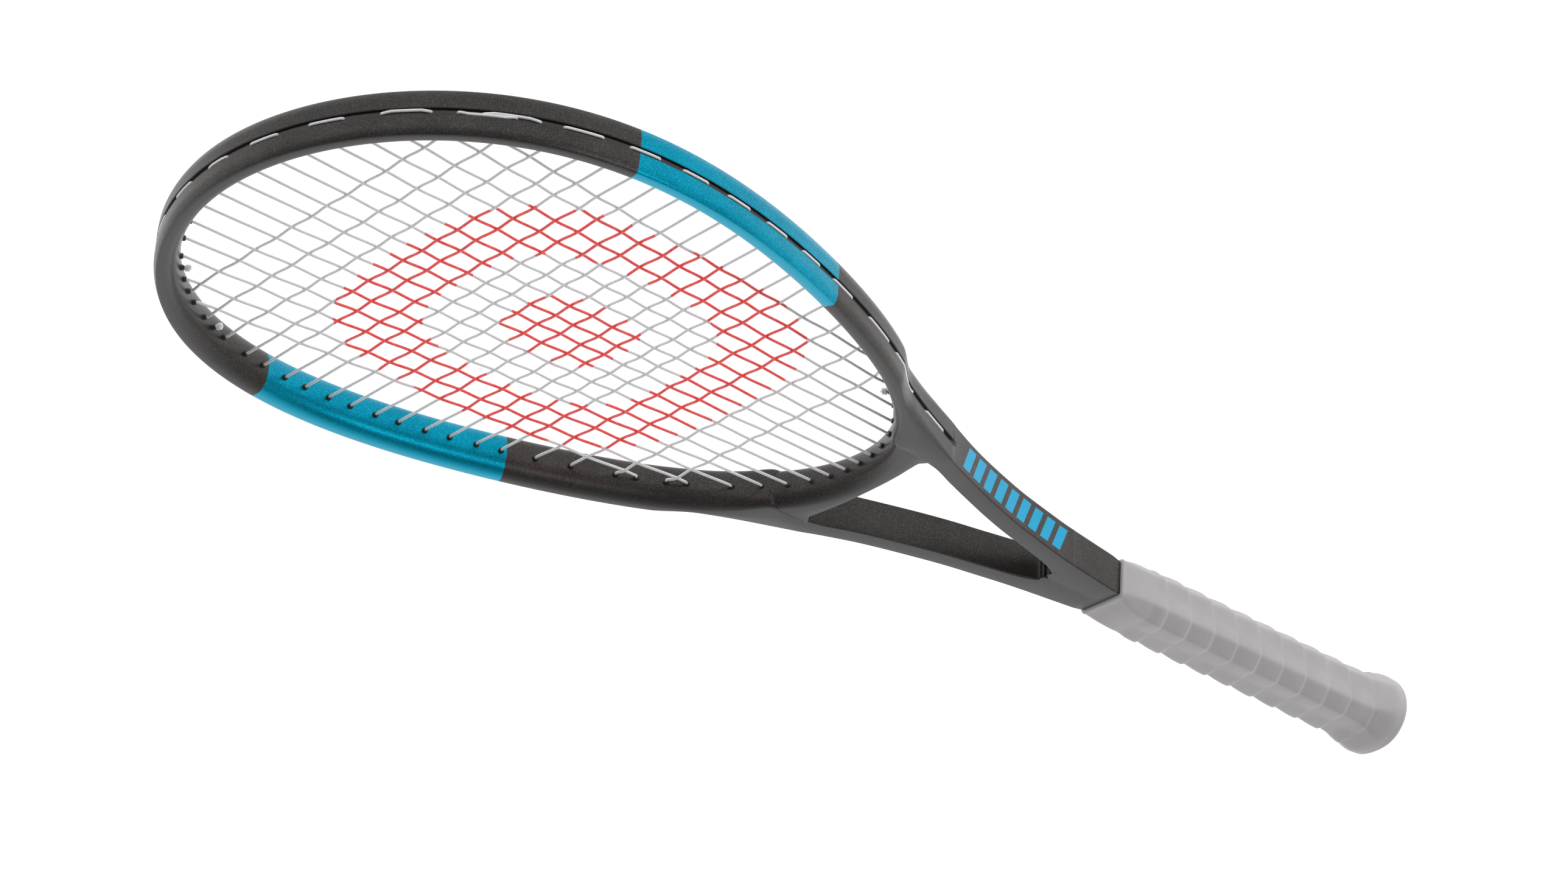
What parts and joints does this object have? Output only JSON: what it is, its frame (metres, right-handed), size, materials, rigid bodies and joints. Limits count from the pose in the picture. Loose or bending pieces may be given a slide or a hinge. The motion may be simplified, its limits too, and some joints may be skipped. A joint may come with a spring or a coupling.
{
  "type": "tennis racket",
  "caption": "Strung tennis racket with an open throat, a woven string bed in grommet strips, a wrapped octagonal grip and a pull-off door in the butt cap",
  "frame": {"origin": "middle of the racket's bounding box, in the plane of the strings", "axes": "X along the racket from the butt (-X) to the tip (+X), Y across the head, Z square to the strings"},
  "size_m": [0.6858, 0.2682, 0.0378],
  "materials": {
    "carbon_frame": "satin metallic lacquer over carbon composite",
    "grommet_nylon": "moulded nylon",
    "string_polyester": "smooth monofilament",
    "pallet_foam": "moulded foam",
    "butt_plastic": "moulded",
    "staple_steel": "plated wire",
    "grip_polyurethane": "matt tacky polyurethane"
  },
  "bodies": {
    "racket": {"hairpin_frame": "carbon_frame", "throat_bridge": "carbon_frame", "head_grommet_strip": "grommet_nylon", "side_grommet_strip_left": "grommet_nylon", "side_grommet_strip_right": "grommet_nylon", "shoulder_grommet_strip_left": "grommet_nylon", "shoulder_grommet_strip_right": "grommet_nylon", "bridge_grommet_strip": "grommet_nylon", "main_string": "string_polyester", "cross_string": "string_polyester", "main_knot_left": "string_polyester", "main_knot_right": "string_polyester", "cross_knot_head": "string_polyester", "cross_knot_throat": "string_polyester", "pallet_upper": "pallet_foam", "pallet_lower": "pallet_foam", "butt_cap": "butt_plastic", "cap_staple_upper": "staple_steel", "cap_staple_lower": "staple_steel", "grip_wrap": "grip_polyurethane", "grip_collar": "grip_polyurethane"},
    "trap_door": {"butt_trap_door": "butt_plastic"}
  },
  "joints": [
    {"name": "trap_door_slide", "type": "slide", "parent": "racket", "child": "trap_door", "axis": [-1, 0, 0], "range_m": [0, 0.02]}
  ]
}
